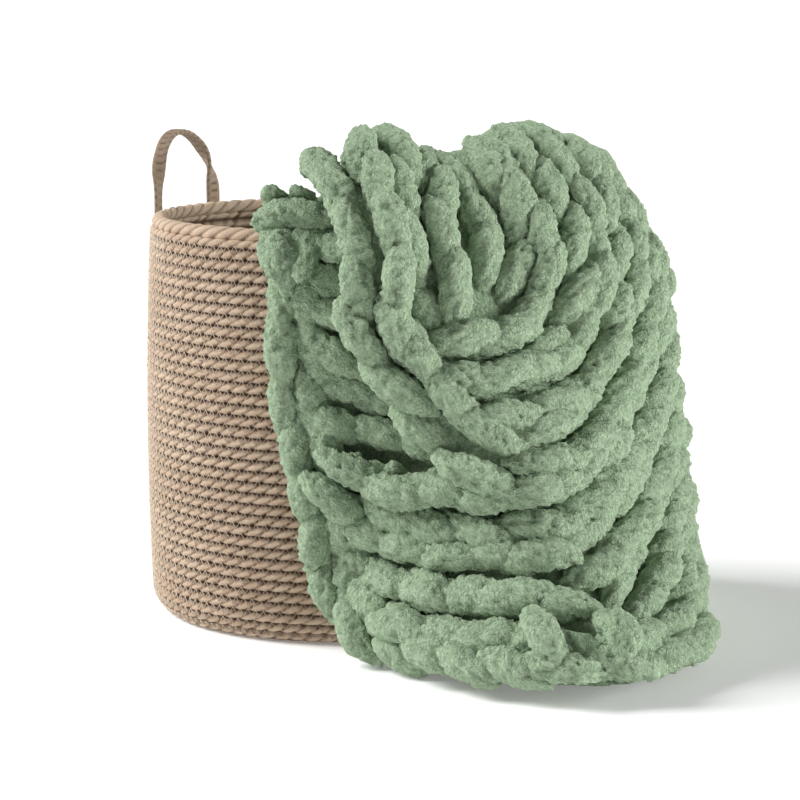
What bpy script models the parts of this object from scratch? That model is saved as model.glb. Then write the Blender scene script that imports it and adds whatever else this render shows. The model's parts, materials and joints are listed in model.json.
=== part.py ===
"""Chunky knit blanket falling over the rim of a round rope basket.

Metres, +Z up. The origin is the middle of the basket's base, on the surface it stands on.
+Y points to the back; the blanket falls over the front right of the rim and lies on the floor.
"""
import math

import bmesh
import bpy
import numpy as np
from mathutils import Vector

# ---------------------------------------------------------------- driving sizes
BASKET_HEIGHT = 0.410
BASKET_RIM_RADIUS = 0.1985
BASKET_BELLY_RADIUS = 0.2045
BASKET_BASE_RADIUS = 0.2000
BASKET_WALL = 0.011
BASKET_CORNER = 0.024
BASKET_STEPS = 48
RIM_ROPE_RADIUS = 0.0072
RIM_BEAD = (150, -20)         # degrees of the rim rope's round that show, inside to outside
RIM_BEAD_POINTS = 6
RIM_BLEND = 0.030             # height over which the wall runs into the rim rope

STRAP_WIDTH = 0.016
STRAP_THICKNESS = 0.006
STRAP_SPREAD = 0.100          # between the two legs of a handle
STRAP_RISE = 0.076            # above the rim
STRAP_SEWN = 0.034            # length of each leg sewn to the wall below the rim
STRAP_STAND_OFF = 0.0045      # clears the swell of the wall below the rim
STRAP_ARCH = (170, 10)        # degrees of the arch between its legs
STRAP_ARCH_POINTS = 11
STRAP_ROUNDING = 0.8          # below 1, the arch is squarer than half an ellipse
STRAP_TURN = -90              # degrees that the strap turns on its way up, and back going down
STRAP_TURN_SPAN = (0.1, 0.7)  # shares of its rise between which it turns
STRAP_EDGE_DEPTH = 0.010      # lies flat on the wall from here down
STRAP_EDGE_OUT = 0.0006
STRAP_END_OUT = 0.0012
LEFT_HANDLE_ANGLE = 148.7     # degrees around the basket's axis from +X
LEFT_HANDLE_LEAN = 0.004      # how far the arch leans out over the wall
RIGHT_HANDLE_LEAN = 0.040     # the right one is pressed down and out by the blanket
RIGHT_HANDLE_RISE = 0.020
PIECE_GAP = 0.0004

YARN_RADIUS = 0.0144
YARN_SIDES = 7
YARN_RINGS = 9                # along one leg of a stitch
YARN_ENDS = (0.20, 0.60)      # how far into half a turn the rounded ends begin, and their span
STITCH_PITCH = 0.047          # along a column of stitches
LEG_FOOT = 0.0125             # half the gap between a stitch's legs where they rise
LEG_HEAD = 0.0215             # and where they sink behind the next stitch
LEG_LIFT = 0.008              # how far the legs stand in front of the cloth's middle
LEG_SINK = 0.010              # how far foot and head lie behind it
BORDER_NARROWING = 0.68       # the border's stitches beside a column's
CLOTH_CORE = 0.013            # thickness of the cloth behind its stitches
VOXEL = 0.0065
BLANKET_TRIANGLES = 10800

# ---------------------------------------------------------------- how the cloth falls
# One row for each upright section of the cloth, by its angle around the basket's axis in
# degrees: radius of the cloth's middle at the floor, knee, waist, shoulder and crest, then
# the height of the crest and of the lip inside the rim.
SECTION_COLUMNS = ("angle", "floor", "knee", "waist", "shoulder", "crest",
                   "crest_height", "lip_height")
SECTIONS = (
    (-112, 0.229, 0.229, 0.229, 0.229, 0.200, 0.4210, 0.386),
    (-100, 0.229, 0.229, 0.229, 0.229, 0.200, 0.4210, 0.386),
    (-89, 0.236, 0.230, 0.229, 0.229, 0.200, 0.4230, 0.392),
    (-80, 0.305, 0.258, 0.238, 0.232, 0.200, 0.434, 0.410),
    (-70, 0.418, 0.314, 0.266, 0.248, 0.202, 0.438, 0.414),
    (-61, 0.482, 0.366, 0.302, 0.270, 0.208, 0.446, 0.420),
    (-48, 0.472, 0.376, 0.328, 0.295, 0.222, 0.464, 0.430),
    (-32, 0.398, 0.358, 0.330, 0.306, 0.234, 0.473, 0.435),
    (-15, 0.358, 0.342, 0.326, 0.306, 0.236, 0.463, 0.430),
    (2, 0.333, 0.325, 0.313, 0.293, 0.230, 0.449, 0.422),
    (22, 0.300, 0.290, 0.280, 0.264, 0.210, 0.437, 0.413),
    (34, 0.285, 0.275, 0.265, 0.250, 0.202, 0.436, 0.410),
)
FLOOR_HEIGHT = 0.020
KNEE_HEIGHT = 0.120
WAIST_HEIGHT = 0.250
SHOULDER_HEIGHT = 0.370
LIP_RADIUS = 0.155
END_RADIUS = 0.120
END_HEIGHT = 0.220
# Where those levels lie along a section's own path: 0 at the hem, 1 on the crest.
LEVELS = (0.0, 0.25, 0.5, 0.75, 1.0, 1.25, 1.6)

# The pleat that folds back over the left part of the cloth. One row for each level: the
# angle of its edge, how far it stands in front, and how far the cloth tucks in behind it.
FOLD_COLUMNS = ("level", "angle", "raise", "tuck")
FOLD = (
    (0.20, -60, 0.000, 0),
    (0.30, -63, 0.012, 2),
    (0.38, -65, 0.035, 8),
    (0.50, -72, 0.055, 13),
    (0.62, -79, 0.062, 15),
    (0.75, -85, 0.064, 16),
    (0.88, -87, 0.062, 16),
    (1.00, -87, 0.050, 14),
    (1.25, -87, 0.015, 8),
    (1.60, -87, 0.000, 2),
)
FOLD_FADE = (4, 30)           # degrees past its edge over which the pleat sinks back

# The cloth's left border, by level, and its right border, which is hidden at the back.
BORDER = ((0, -83), (0.125, -88.5), (0.25, -92.5), (0.375, -96.5), (0.5, -99.5), (0.75, -102),
          (1.0, -104), (1.25, -104), (1.6, -104))
BACK_ANGLE = 24

# Columns of stitches, one row each: the layer they lie on, then angle and level of the
# points that the column's middle passes, from the cloth's left to where it ends.
COLUMNS = {
    "rim": ("under", (-101, 0.92), (-88, 0.92), (-78, 0.92)),
    "bar_1": ("under", (-98, 0.79), (-89, 0.77), (-76, 0.76)),
    "bar_2": ("under", (-97, 0.64), (-87, 0.61), (-72, 0.59)),
    "bar_3": ("under", (-95, 0.50), (-84, 0.48), (-68, 0.45)),
    "fold_1": ("over", (-62, 0.40), (-68, 0.50), (-75, 0.62), (-81, 0.75), (-83, 0.88),
               (-83, 1.00), (-83, 1.25)),
    "fold_2": ("over", (-66, 0.66), (-70, 0.76), (-71, 0.88), (-70, 1.00), (-70, 1.25)),
    "valley": ("over", (-58, 0.74), (-55, 0.82), (-54, 0.92), (-54, 1.05), (-56, 1.30), (-57, 1.55)),
    "arc_1": ("over", (-67, 0.57), (-61, 0.58), (-52, 0.65), (-46, 0.76),
              (-44, 0.90), (-44, 1.05), (-46, 1.30), (-46, 1.55)),
    "arc_2": ("over", (-63, 0.49), (-57, 0.51), (-47, 0.56), (-38, 0.68),
              (-32, 0.83), (-30, 1.00), (-32, 1.25), (-32, 1.55)),
    "arc_3": ("over", (-59, 0.41), (-52, 0.44), (-40, 0.53), (-27, 0.67),
              (-19, 0.82), (-16, 1.00), (-15, 1.25), (-15, 1.55)),
    "arc_4": ("over", (-92, 0.37), (-81, 0.34), (-70, 0.32), (-60, 0.32), (-52, 0.36),
              (-38, 0.43), (-22, 0.54), (-8, 0.68), (-2, 0.83), (0, 1.00), (2, 1.25), (2, 1.55)),
    "arc_5": ("over", (-88, 0.25), (-78, 0.21), (-69, 0.20), (-60, 0.21), (-47, 0.28),
              (-28, 0.39), (-9, 0.54), (7, 0.70), (13, 0.85), (15, 1.00), (16, 1.25), (16, 1.55)),
    "bar_4": ("over", (-83, 0.13), (-76, 0.11), (-68, 0.11), (-60, 0.11)),
    "rise_1": ("over", (-51, 0.14), (-36, 0.24), (-18, 0.34), (2, 0.46), (18, 0.58)),
    "rise_2": ("over", (-39, 0.12), (-22, 0.20), (-3, 0.30), (15, 0.42)),
    "rise_3": ("over", (-24, 0.12), (-8, 0.18), (8, 0.26), (19, 0.32)),
    "rise_4": ("over", (-9, 0.12), (5, 0.16), (18, 0.20)),
    "well_1": ("under", (-101, 1.10), (-85, 1.10), (-58, 1.12)),
    "well_2": ("under", (-101, 1.27), (-85, 1.27), (-58, 1.27)),
    "well_3": ("under", (-101, 1.44), (-85, 1.44), (-58, 1.44)),
}
HEM_LEVEL = 0.045

# Where the cloth lies tight over the bare rim its stitches are pressed flatter.
PRESS = 0.58
PRESS_LEVEL = 0.98
PRESS_SPAN = (0.18, 0.38)      # in levels on both sides, over which the pressing fades
PRESS_ANGLES = (-88, -78)

# The knotted end of the yarn at the front of the hem: for each of its two turns, angle,
# level and how far it stands in front of the cloth's middle, from the floor upward.
KNOT = (
    ((-63.5, 0.010, 0.016), (-64.0, 0.060, 0.034), (-64.0, 0.125, 0.014)),
    ((-58.0, 0.010, 0.014), (-57.5, 0.055, 0.032), (-57.5, 0.110, 0.012)),
)

COLOURS = {
    "blanket": ((0.36, 0.50, 0.33), 0.95),
    "basket": ((0.50, 0.35, 0.22), 0.85),
    "handle": ((0.42, 0.29, 0.18), 0.85),
}


# ---------------------------------------------------------------- scene and materials
def clear_scene():
    for item in list(bpy.data.objects):
        bpy.data.objects.remove(item, do_unlink=True)


def material(name, colour, roughness):
    finish = bpy.data.materials.new(name)
    finish.use_nodes = True
    shader = finish.node_tree.nodes["Principled BSDF"]
    shader.inputs["Base Color"].default_value = (*colour, 1)
    shader.inputs["Roughness"].default_value = roughness
    shader.inputs["Metallic"].default_value = 0
    return finish


def add_object(name, mesh, collection, finish):
    item = bpy.data.objects.new(name, mesh)
    item.data.materials.clear()
    item.data.materials.append(finish)
    collection.objects.link(item)
    return item


# ---------------------------------------------------------------- curves through rows of numbers
def columns(table, names, *wanted):
    """The wanted columns of a table, side by side."""
    return np.array([[row[names.index(name)] for name in wanted] for row in table], float)


def through_rows(keys, rows, at):
    """A smooth curve through rows, one for each key, read at the places in at."""
    keys = np.asarray(keys, float)
    rows = np.asarray(rows, float)
    at = np.clip(np.asarray(at, float), keys[0], keys[-1])
    slope = np.gradient(rows, keys, axis=0)
    low = np.clip(np.searchsorted(keys, at, side="right") - 1, 0, len(keys) - 2)
    span = keys[low + 1] - keys[low]
    part = (at - keys[low]) / span
    if rows.ndim > 1:
        span, part = span[:, None], part[:, None]
    start = (1 + 2 * part) * (1 - part) ** 2 * rows[low] + part * (1 - part) ** 2 * span * slope[low]
    end = part ** 2 * (3 - 2 * part) * rows[low + 1] + part ** 2 * (part - 1) * span * slope[low + 1]
    return start + end


def ease(low, high, value):
    part = np.clip((value - low) / (high - low), 0, 1)
    return part * part * (3 - 2 * part)


# ---------------------------------------------------------------- the cloth's middle surface
def under_layer(angle, level):
    """Points of the cloth as it falls without its pleat."""
    angle, level = np.asarray(angle, float), np.asarray(level, float)
    keys = columns(SECTIONS, SECTION_COLUMNS, "angle")[:, 0]
    section = through_rows(keys, columns(SECTIONS, SECTION_COLUMNS, *SECTION_COLUMNS[1:]), angle)
    *widths, crest_height, lip_height = section.T
    same = np.ones(len(section))
    radii = np.stack([*widths, LIP_RADIUS * same, END_RADIUS * same], 1)
    heights = np.stack([FLOOR_HEIGHT * same, KNEE_HEIGHT * same, WAIST_HEIGHT * same,
                        SHOULDER_HEIGHT * same, crest_height, lip_height, END_HEIGHT * same], 1)
    # A curve through rows is the same mix of them for every column, so one mix reads both.
    mix = through_rows(LEVELS, np.eye(len(LEVELS)), level)
    radius, height, turn = (mix * radii).sum(1), (mix * heights).sum(1), np.radians(angle)
    return np.stack([radius * np.cos(turn), radius * np.sin(turn), height], -1)


def normals(layer, angle, level):
    level = np.clip(level, 0.02, LEVELS[-1] - 0.02)
    across = layer(angle + 0.5, level) - layer(angle - 0.5, level)
    along = layer(angle, level + 0.01) - layer(angle, level - 0.01)
    normal = np.cross(across, along)
    return normal / np.linalg.norm(normal, axis=-1, keepdims=True)


def fold_at(level):
    keys = columns(FOLD, FOLD_COLUMNS, "level")[:, 0]
    return through_rows(keys, columns(FOLD, FOLD_COLUMNS, "angle", "raise", "tuck"), level)


def over_layer(angle, level):
    """Points of the cloth's front layer, which the pleat lifts."""
    angle, level = np.asarray(angle, float), np.asarray(level, float)
    edge, lift, _ = fold_at(level).T
    lift = lift * (1 - ease(*FOLD_FADE, angle - edge))
    return under_layer(angle, level) + normals(under_layer, angle, level) * lift[:, None]


LAYERS = {"under": under_layer, "over": over_layer}


def border_at(level):
    keys, angles = np.array(BORDER, float).T
    return through_rows(keys, angles, level)


def cloth_grid(across=58, along=46):
    """Rows of points over the whole cloth, going back and forth through the pleat."""
    rows = []
    for level in np.linspace(0, LEVELS[-1], along):
        start = float(border_at([level])[0])
        edge, _, tuck = fold_at([level])[0]
        tuck = max(tuck, 0.5)
        lengths = (edge + tuck - start, tuck, BACK_ANGLE - edge)
        place = np.linspace(0, sum(lengths), across)
        first = place <= lengths[0]
        second = (place > lengths[0]) & (place <= lengths[0] + lengths[1])
        angle = np.where(first, start + place, edge + place - lengths[0] - lengths[1])
        angle = np.where(second, edge + tuck - (place - lengths[0]), angle)
        levels = np.full(across, level)
        share = np.clip((place - lengths[0]) / lengths[1], 0, 1)[:, None]
        rows.append(under_layer(angle, levels) * (1 - share) + over_layer(angle, levels) * share)
    return np.array(rows)


# ---------------------------------------------------------------- yarn
SLANTED = (0.31, 0.17, 0.93)  # a direction that no yarn follows, to start its rings from


def pressing(angle, level):
    """How much of its thickness a stitch keeps where it lies."""
    near_rim = 1 - ease(*PRESS_SPAN, abs(level - PRESS_LEVEL))
    return 1 - PRESS * near_rim * (1 - ease(*PRESS_ANGLES, angle))


def column_frames(layer, points, pitch):
    """Stitch places along a column: middle, along, across and outward, a pitch apart."""
    points = np.array(points, float)
    steps = np.linspace(0, len(points) - 1, 40 * (len(points) - 1) + 1)
    angle, level = through_rows(range(len(points)), points, steps).T
    place = layer(angle, level)
    out = normals(layer, angle, level)
    run = np.concatenate([[0], np.cumsum(np.linalg.norm(np.diff(place, axis=0), axis=1))])
    count = max(1, round(run[-1] / pitch))
    frames = []
    for at in np.arange(count) * run[-1] / count:
        index = min(int(np.searchsorted(run, at)), len(run) - 2)
        along = place[index + 1] - place[index]
        along /= np.linalg.norm(along)
        across = np.cross(out[index], along)
        across /= np.linalg.norm(across)
        frames.append((place[index], along, across, out[index], pressing(angle[index], level[index])))
    return frames, run[-1] / count


def stitch_legs(frame, pitch, narrowing=1.0):
    """The two legs of one stitch, each a short run of points that dips at both ends."""
    middle, along, across, out, _ = frame
    shape = (
        (0.9 * LEG_FOOT, -0.18, -LEG_SINK),
        (LEG_FOOT + 0.30 * (LEG_HEAD - LEG_FOOT), 0.15, 0.6 * LEG_LIFT),
        (LEG_FOOT + 0.60 * (LEG_HEAD - LEG_FOOT), 0.52, LEG_LIFT),
        (LEG_HEAD, 0.92, 0.4 * LEG_LIFT),
        (0.92 * LEG_HEAD, 1.22, -LEG_SINK),
    )
    for side in (-1, 1):
        yield [middle + side * spread * narrowing * across + step * pitch * along + lift * out
               for spread, step, lift in shape]


def add_yarn(mesh, path, frame=None):
    """A closed length of yarn along a short path, rounded off at both ends."""
    path = np.array(path)
    fine = through_rows(range(len(path)), path, np.linspace(0, len(path) - 1, YARN_RINGS))
    last = YARN_RINGS - 1
    start, span = YARN_ENDS
    rings = []
    guide = None
    for index, point in enumerate(fine):
        along = fine[min(index + 1, last)] - fine[max(index - 1, 0)]
        along /= np.linalg.norm(along)
        if guide is None:
            guide = np.cross(along, SLANTED)
        guide = guide - along * np.dot(guide, along)
        guide /= np.linalg.norm(guide)
        other = np.cross(along, guide)
        size = YARN_RADIUS * math.sin(math.pi * (start + span * index / last)) ** 0.5
        ring = [point + size * (math.cos(turn) * guide + math.sin(turn) * other)
                for turn in np.linspace(0, 2 * math.pi, YARN_SIDES, endpoint=False)]
        if frame:
            middle, *_, out, kept = frame
            ring = [place - (1 - kept) * np.dot(place - middle, out) * out for place in ring]
        rings.append([mesh.verts.new(Vector(place)) for place in ring])
    for low, high in zip(rings, rings[1:]):
        for side in range(YARN_SIDES):
            after = (side + 1) % YARN_SIDES
            mesh.faces.new((low[side], low[after], high[after], high[side]))
    for ring, outward in ((rings[0], -1), (rings[-1], 1)):
        mesh.faces.new(ring[::outward])


def add_columns(mesh):
    for layer, *points in COLUMNS.values():
        frames, pitch = column_frames(LAYERS[layer], points, STITCH_PITCH)
        for frame in frames:
            for leg in stitch_legs(frame, pitch):
                add_yarn(mesh, leg, frame=frame)


def edge_route():
    """The border down the left side, the hem along the floor and the border at the back."""
    down = [(float(border_at([level])[0]), level)
            for level in (1.5, 1.25, 1.0, 0.75, 0.5, 0.375, 0.25, 0.125)]
    hem = [(angle, HEM_LEVEL) for angle in (-80, -72, -61, -48, -32, -15, 2, 16)]
    up = [(BACK_ANGLE, level) for level in (0.125, 0.25, 0.5, 0.75, 1.0, 1.25, 1.5)]
    return down + hem + up


def add_edges(mesh):
    frames, pitch = column_frames(under_layer, edge_route(), STITCH_PITCH)
    for frame in frames:
        for leg in stitch_legs(frame, pitch, BORDER_NARROWING):
            add_yarn(mesh, leg, frame=frame)
    for turn in KNOT:
        angle, level, lift = np.array(turn).T
        add_yarn(mesh, over_layer(angle, level) + normals(over_layer, angle, level) * lift[:, None])


def add_core(mesh):
    """The cloth behind its stitches, as a thin closed sheet."""
    grid = cloth_grid()
    rows, across = grid.shape[:2]
    out = np.cross(np.gradient(grid, axis=1), np.gradient(grid, axis=0))
    out *= CLOTH_CORE / 2 / (np.linalg.norm(out, axis=-1, keepdims=True) + 1e-12)
    front, back = ([[mesh.verts.new(Vector(point)) for point in row] for row in grid + side * out]
                   for side in (1, -1))
    for row in range(rows - 1):
        for item in range(across - 1):
            corners = ((row, item), (row, item + 1), (row + 1, item + 1), (row + 1, item))
            mesh.faces.new([front[low][side] for low, side in corners])
            mesh.faces.new([back[low][side] for low, side in reversed(corners)])
    rim = [(0, item) for item in range(across - 1)] + [(row, across - 1) for row in range(rows - 1)]
    rim += [(rows - 1, item) for item in range(across - 1, 0, -1)]
    rim += [(row, 0) for row in range(rows - 1, 0, -1)]
    for (row, item), (next_row, next_item) in zip(rim, rim[1:] + rim[:1]):
        mesh.faces.new((front[next_row][next_item], front[row][item],
                        back[row][item], back[next_row][next_item]))


def keep_outer_skin(block):
    """Leaves only the largest closed skin, and presses what is below the floor flat."""
    mesh = bmesh.new()
    mesh.from_mesh(block)
    left = set(mesh.verts)
    skins = []
    while left:
        skin, edge = set(), [left.pop()]
        while edge:
            point = edge.pop()
            skin.add(point)
            for link in point.link_edges:
                other = link.other_vert(point)
                if other in left:
                    left.remove(other)
                    edge.append(other)
        skins.append(skin)
    largest = max(skins, key=len)
    bmesh.ops.delete(mesh, geom=[point for point in mesh.verts if point not in largest], context="VERTS")
    for point in mesh.verts:
        point.co.z = max(point.co.z, 0)
    mesh.to_mesh(block)
    mesh.free()


def blanket(collection, finish):
    yarn = bmesh.new()
    add_core(yarn)
    add_columns(yarn)
    add_edges(yarn)
    block = bpy.data.meshes.new("yarn")
    yarn.to_mesh(block)
    yarn.free()
    item = add_object("blanket", block, collection, finish)
    merge = item.modifiers.new("Felt", "REMESH")
    merge.mode = "VOXEL"
    merge.voxel_size = VOXEL
    evaluated = item.evaluated_get(bpy.context.evaluated_depsgraph_get())
    thin = item.modifiers.new("Thin", "DECIMATE")
    thin.ratio = BLANKET_TRIANGLES / (2 * len(evaluated.data.polygons))
    bpy.context.view_layer.update()
    evaluated = item.evaluated_get(bpy.context.evaluated_depsgraph_get())
    felted = bpy.data.meshes.new_from_object(evaluated)
    item.modifiers.clear()
    item.data = felted
    felted.name = "blanket"
    keep_outer_skin(felted)
    bpy.data.meshes.remove(block)
    return item


# ---------------------------------------------------------------- basket
def arc(centre, radius, turns):
    """Points on an arc, at the given degrees."""
    return [(centre[0] + radius * math.cos(math.radians(turn)),
             centre[1] + radius * math.sin(math.radians(turn))) for turn in turns]


def wall_radius(height):
    """The outside of the wall, which swells between base and rim."""
    part = height / BASKET_HEIGHT
    swell = BASKET_BELLY_RADIUS - (BASKET_BASE_RADIUS + BASKET_RIM_RADIUS) / 2
    straight = BASKET_BASE_RADIUS + (BASKET_RIM_RADIUS - BASKET_BASE_RADIUS) * part
    return straight + 4 * swell * part * (1 - part)


def basket_profile():
    """Half section of the wall and floor: over the rim, down the outside, and up the inside."""
    rim = (BASKET_RIM_RADIUS - RIM_ROPE_RADIUS, BASKET_HEIGHT - RIM_ROPE_RADIUS)
    corner = (wall_radius(BASKET_CORNER) - BASKET_CORNER, BASKET_CORNER)
    wall_top = BASKET_HEIGHT - RIM_BLEND
    points = arc(rim, RIM_ROPE_RADIUS, np.linspace(*RIM_BEAD, RIM_BEAD_POINTS))
    points += [(wall_radius(height), height) for height in np.linspace(wall_top, BASKET_CORNER, 7)]
    points += arc(corner, BASKET_CORNER, (-30, -60, -90))
    points += [(0, 0), (0, BASKET_WALL)]
    points += arc(corner, BASKET_CORNER - BASKET_WALL, (-90, -45))
    points += [(wall_radius(height) - BASKET_WALL, height)
               for height in np.linspace(BASKET_CORNER, wall_top, 5)]
    return points


def basket(collection, finish):
    mesh = bmesh.new()
    points = [mesh.verts.new((radius, 0, height)) for radius, height in basket_profile()]
    for low, high in zip(points, points[1:]):
        mesh.edges.new((low, high))
    mesh.edges.new((points[-1], points[0]))
    block = bpy.data.meshes.new("basket")
    mesh.to_mesh(block)
    mesh.free()
    item = add_object("basket", block, collection, finish)
    turn = item.modifiers.new("Turn", "SCREW")
    turn.steps = BASKET_STEPS
    turn.render_steps = BASKET_STEPS
    turn.use_merge_vertices = True
    turn.merge_threshold = 0.0001
    return item


# ---------------------------------------------------------------- handles
# The strap's rounded section, as shares of its width and its thickness.
STRAP_SECTION = ((-0.5, -0.28), (-0.32, -0.5), (0.32, -0.5), (0.5, -0.28),
                 (0.5, 0.28), (0.32, 0.5), (-0.32, 0.5), (-0.5, 0.28))


def strap_route(lean, rise):
    """One row for each section: along the wall, out from it, height over the rim, twist."""
    half = STRAP_SPREAD / 2
    sewn = [(STRAP_END_OUT, -STRAP_SEWN, 0), (STRAP_EDGE_OUT, -STRAP_EDGE_DEPTH, 0)]
    rows = [(-half, *row) for row in sewn]
    for turn in np.radians(np.linspace(*STRAP_ARCH, STRAP_ARCH_POINTS)):
        reach = math.sin(turn)
        rows.append((half * math.cos(turn), lean * reach, rise * reach ** STRAP_ROUNDING,
                     STRAP_TURN * ease(*STRAP_TURN_SPAN, reach)))
    return rows + [(half, *row) for row in reversed(sewn)]


def strap(name, collection, finish, angle, lean, rise):
    """A flat strap, sewn to the outside of the wall by both ends, that arches over the rim."""
    rows = strap_route(lean, rise)
    centre = np.array(rows)[:, :3]
    mesh = bmesh.new()
    rings = []
    for index, (*_, twist) in enumerate(rows):
        along = centre[min(index + 1, len(rows) - 1)] - centre[max(index - 1, 0)]
        along /= np.linalg.norm(along)
        flat = np.array((0.0, 1.0, 0.0)) if abs(along[1]) < 0.9 else np.array((1.0, 0.0, 0.0))
        flat = flat - along * np.dot(flat, along)
        flat /= np.linalg.norm(flat)
        wide = np.cross(along, flat)
        turn = math.radians(twist)
        thin_axis = math.cos(turn) * flat + math.sin(turn) * wide
        wide_axis = -math.sin(turn) * flat + math.cos(turn) * wide
        rings.append([mesh.verts.new(Vector(centre[index] + across * STRAP_WIDTH * wide_axis
                                            + over * STRAP_THICKNESS * thin_axis))
                      for across, over in STRAP_SECTION])
    for low, high in zip(rings, rings[1:]):
        for side in range(len(STRAP_SECTION)):
            after = (side + 1) % len(STRAP_SECTION)
            mesh.faces.new((low[side], low[after], high[after], high[side]))
    mesh.faces.new(rings[0][::-1])
    mesh.faces.new(rings[-1])
    wall = BASKET_RIM_RADIUS + PIECE_GAP + STRAP_THICKNESS / 2 + STRAP_STAND_OFF
    turn = math.radians(angle)
    out_axis = Vector((math.cos(turn), math.sin(turn), 0))
    side_axis = Vector((-math.sin(turn), math.cos(turn), 0))
    for point in mesh.verts:
        side, out, up = point.co
        # The legs follow the round wall, so the strap's middle bows out less than its ends.
        bow = math.sqrt(max(wall ** 2 - side ** 2, 0))
        point.co = out_axis * (bow + out) + side_axis * side + Vector((0, 0, BASKET_HEIGHT + up))
    bmesh.ops.recalc_face_normals(mesh, faces=mesh.faces[:])
    block = bpy.data.meshes.new(name)
    mesh.to_mesh(block)
    mesh.free()
    return add_object(name, block, collection, finish)


def main():
    clear_scene()
    collection = bpy.data.collections.new("knit_blanket_over_basket")
    bpy.context.scene.collection.children.link(collection)
    finishes = {name: material(name, *values) for name, values in COLOURS.items()}
    basket(collection, finishes["basket"])
    strap("handle_left", collection, finishes["handle"], LEFT_HANDLE_ANGLE,
          LEFT_HANDLE_LEAN, STRAP_RISE)
    strap("handle_right", collection, finishes["handle"], LEFT_HANDLE_ANGLE - 180,
          RIGHT_HANDLE_LEAN, RIGHT_HANDLE_RISE)
    blanket(collection, finishes["blanket"])
    for item in collection.objects:
        item.data.shade_smooth()
        item.data.set_sharp_from_angle(angle=math.radians(40))


main()
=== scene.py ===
"""Chunky knit blanket over the rim of a round rope basket: yarn, rope, straps and studio.

Metres, +Z up, +Y to the back, with the origin under the middle of the basket.
"""

import json
import math

import bpy
import numpy as np
from bpy.props import FloatProperty, FloatVectorProperty, IntProperty, PointerProperty
from bpy.types import Operator, Panel, PropertyGroup
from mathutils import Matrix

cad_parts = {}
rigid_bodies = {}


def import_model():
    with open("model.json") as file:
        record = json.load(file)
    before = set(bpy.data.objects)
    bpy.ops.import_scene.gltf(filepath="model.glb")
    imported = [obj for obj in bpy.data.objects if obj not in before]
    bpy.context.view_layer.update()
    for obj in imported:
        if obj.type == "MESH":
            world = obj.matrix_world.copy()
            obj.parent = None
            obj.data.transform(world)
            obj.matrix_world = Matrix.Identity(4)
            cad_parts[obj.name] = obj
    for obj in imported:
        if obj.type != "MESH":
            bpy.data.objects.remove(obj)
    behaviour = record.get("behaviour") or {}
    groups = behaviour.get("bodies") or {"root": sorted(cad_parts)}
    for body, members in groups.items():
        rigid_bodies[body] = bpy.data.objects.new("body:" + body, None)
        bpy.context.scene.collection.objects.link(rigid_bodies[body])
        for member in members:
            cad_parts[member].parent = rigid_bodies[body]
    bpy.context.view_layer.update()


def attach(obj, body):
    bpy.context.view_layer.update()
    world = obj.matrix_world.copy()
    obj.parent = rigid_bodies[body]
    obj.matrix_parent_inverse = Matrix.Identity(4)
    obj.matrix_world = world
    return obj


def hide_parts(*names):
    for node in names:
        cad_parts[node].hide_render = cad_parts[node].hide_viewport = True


bl_info = {
    "name": "Knit Blanket Over Basket",
    "version": (1, 0, 0),
    "blender": (4, 5, 0),
    "location": "3D View > Sidebar > Knit Blanket",
    "description": "Dresses a chunky knit blanket that falls over the rim of a rope basket",
    "category": "Object",
}

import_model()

# ---------------------------------------------------------------- how the cloth falls
SECTION_COLUMNS = ("angle", "floor", "knee", "waist", "shoulder", "crest",
                   "crest_height", "lip_height")
SECTIONS = (
    (-112, 0.229, 0.229, 0.229, 0.229, 0.200, 0.4210, 0.386),
    (-100, 0.229, 0.229, 0.229, 0.229, 0.200, 0.4210, 0.386),
    (-89, 0.236, 0.230, 0.229, 0.229, 0.200, 0.4230, 0.392),
    (-80, 0.305, 0.258, 0.238, 0.232, 0.200, 0.434, 0.410),
    (-70, 0.418, 0.314, 0.266, 0.248, 0.202, 0.438, 0.414),
    (-61, 0.482, 0.366, 0.302, 0.270, 0.208, 0.446, 0.420),
    (-48, 0.472, 0.376, 0.328, 0.295, 0.222, 0.464, 0.430),
    (-32, 0.398, 0.358, 0.330, 0.306, 0.234, 0.473, 0.435),
    (-15, 0.358, 0.342, 0.326, 0.306, 0.236, 0.463, 0.430),
    (2, 0.333, 0.325, 0.313, 0.293, 0.230, 0.449, 0.422),
    (22, 0.300, 0.290, 0.280, 0.264, 0.210, 0.437, 0.413),
    (34, 0.285, 0.275, 0.265, 0.250, 0.202, 0.436, 0.410),
)
FLOOR_HEIGHT = 0.020
KNEE_HEIGHT = 0.120
WAIST_HEIGHT = 0.250
SHOULDER_HEIGHT = 0.370
LIP_RADIUS = 0.155
END_RADIUS = 0.120
END_HEIGHT = 0.220
LEVELS = (0.0, 0.25, 0.5, 0.75, 1.0, 1.25, 1.6)

FOLD_COLUMNS = ("level", "angle", "raise", "tuck")
FOLD = (
    (0.20, -60, 0.000, 0),
    (0.30, -63, 0.012, 2),
    (0.38, -65, 0.035, 8),
    (0.50, -72, 0.055, 13),
    (0.62, -79, 0.062, 15),
    (0.75, -85, 0.064, 16),
    (0.88, -87, 0.062, 16),
    (1.00, -87, 0.050, 14),
    (1.25, -87, 0.015, 8),
    (1.60, -87, 0.000, 2),
)
FOLD_FADE = (4, 30)
BORDER = ((0, -83), (0.125, -88.5), (0.25, -92.5), (0.375, -96.5), (0.5, -99.5), (0.75, -102),
          (1.0, -104), (1.25, -104), (1.6, -104))
BACK_ANGLE = 24

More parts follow.
